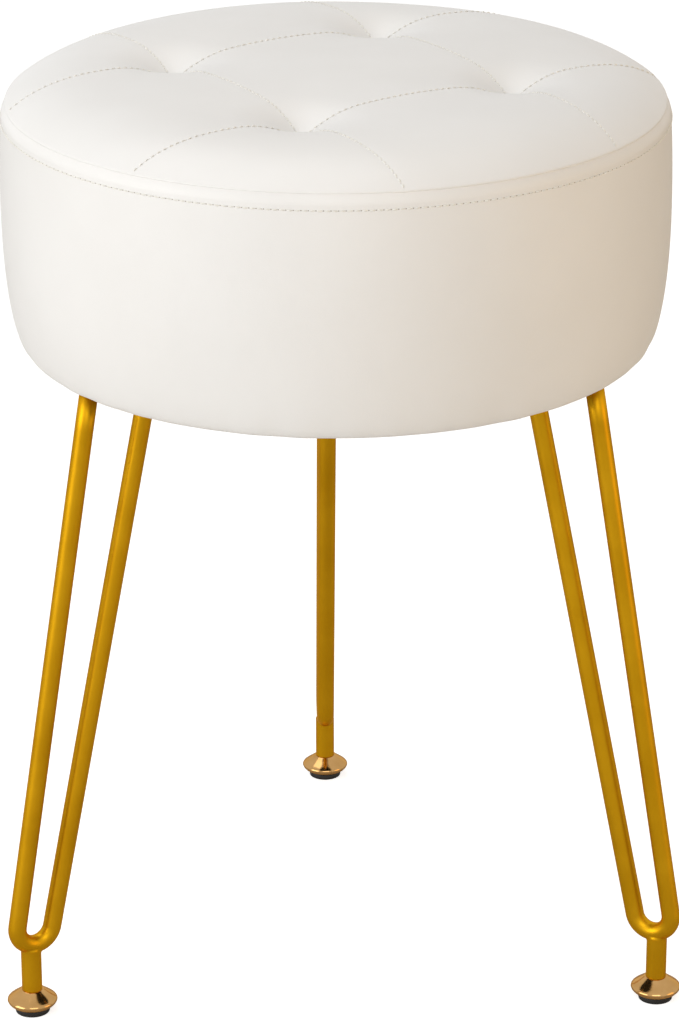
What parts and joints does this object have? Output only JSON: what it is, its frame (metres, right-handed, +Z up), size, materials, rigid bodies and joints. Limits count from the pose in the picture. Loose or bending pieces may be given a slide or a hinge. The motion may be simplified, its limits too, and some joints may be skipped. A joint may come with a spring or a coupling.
{
  "type": "vanity stool",
  "caption": "Round tufted vanity stool: a domed white upholstered drum on splayed gold hairpin legs with screw-in levelling feet.",
  "frame": {"origin": "on the floor, under the middle of the overall width and depth; the seat's own axis stands 16.1 mm in front of it, at y = -0.0161", "axes": "+Z up, the longest extent; +Y to the single rear leg, so the pair of front legs stand at front left and front right; +X to the right as seen from the front; the three feet rest at z = 0"},
  "size_m": [0.3654, 0.3855, 0.5],
  "materials": {
    "white_leather": "satin",
    "foam": "matte",
    "board": "matte",
    "hoop_board": "matte",
    "batten_wood": "matte",
    "twine": "matte",
    "black_cloth": "matte",
    "zinc_steel": "satin",
    "gold_paint": "satin",
    "rose_brass": "polished",
    "black_rubber": "matte"
  },
  "bodies": {
    "frame": {"top_cover": "white_leather", "side_band": "white_leather", "topper_foam": "foam", "side_foam": "foam", "side_hoop": "hoop_board", "top_board": "board", "base_board": "board", "frame_battens": "batten_wood", "tuft_cords": "twine", "tuft_washers": "zinc_steel", "dust_cover": "black_cloth", "cover_staples": "zinc_steel", "t_nuts": "zinc_steel", "leg_washers": "zinc_steel", "leg_bolts": "zinc_steel", "rear_leg_plate": "gold_paint", "rear_hairpin_rod": "gold_paint", "rear_foot_socket": "gold_paint", "left_leg_plate": "gold_paint", "left_hairpin_rod": "gold_paint", "left_foot_socket": "gold_paint", "right_leg_plate": "gold_paint", "right_hairpin_rod": "gold_paint", "right_foot_socket": "gold_paint"},
    "rear_stud": {"rear_leveller_stud": "zinc_steel"},
    "rear_foot": {"rear_foot_flange": "rose_brass", "rear_foot_pad": "black_rubber"},
    "left_stud": {"left_leveller_stud": "zinc_steel"},
    "left_foot": {"left_foot_flange": "rose_brass", "left_foot_pad": "black_rubber"},
    "right_stud": {"right_leveller_stud": "zinc_steel"},
    "right_foot": {"right_foot_flange": "rose_brass", "right_foot_pad": "black_rubber"}
  },
  "joints": [
    {"name": "rear_leveller_travel", "type": "slide", "parent": "frame", "child": "rear_stud", "axis": [0, 0, -1], "range_m": [0, 0.008]},
    {"name": "rear_leveller_turn", "type": "hinge", "parent": "rear_stud", "child": "rear_foot", "pos_m": [0, 0.1794, 0.009], "axis": [0, 0, -1], "range_deg": [0, 2880]},
    {"name": "left_leveller_travel", "type": "slide", "parent": "frame", "child": "left_stud", "axis": [0, 0, -1], "range_m": [0, 0.008]},
    {"name": "left_leveller_turn", "type": "hinge", "parent": "left_stud", "child": "left_foot", "pos_m": [-0.16931, -0.11385, 0.009], "axis": [0, 0, -1], "range_deg": [0, 2880]},
    {"name": "right_leveller_travel", "type": "slide", "parent": "frame", "child": "right_stud", "axis": [0, 0, -1], "range_m": [0, 0.008]},
    {"name": "right_leveller_turn", "type": "hinge", "parent": "right_stud", "child": "right_foot", "pos_m": [0.16931, -0.11385, 0.009], "axis": [0, 0, -1], "range_deg": [0, 2880]}
  ],
  "couplings": [
    {"joint": "rear_leveller_turn", "follows": "rear_leveller_travel", "rad_per_m": 6283.2},
    {"joint": "left_leveller_turn", "follows": "left_leveller_travel", "rad_per_m": 6283.2},
    {"joint": "right_leveller_turn", "follows": "right_leveller_travel", "rad_per_m": 6283.2}
  ]
}
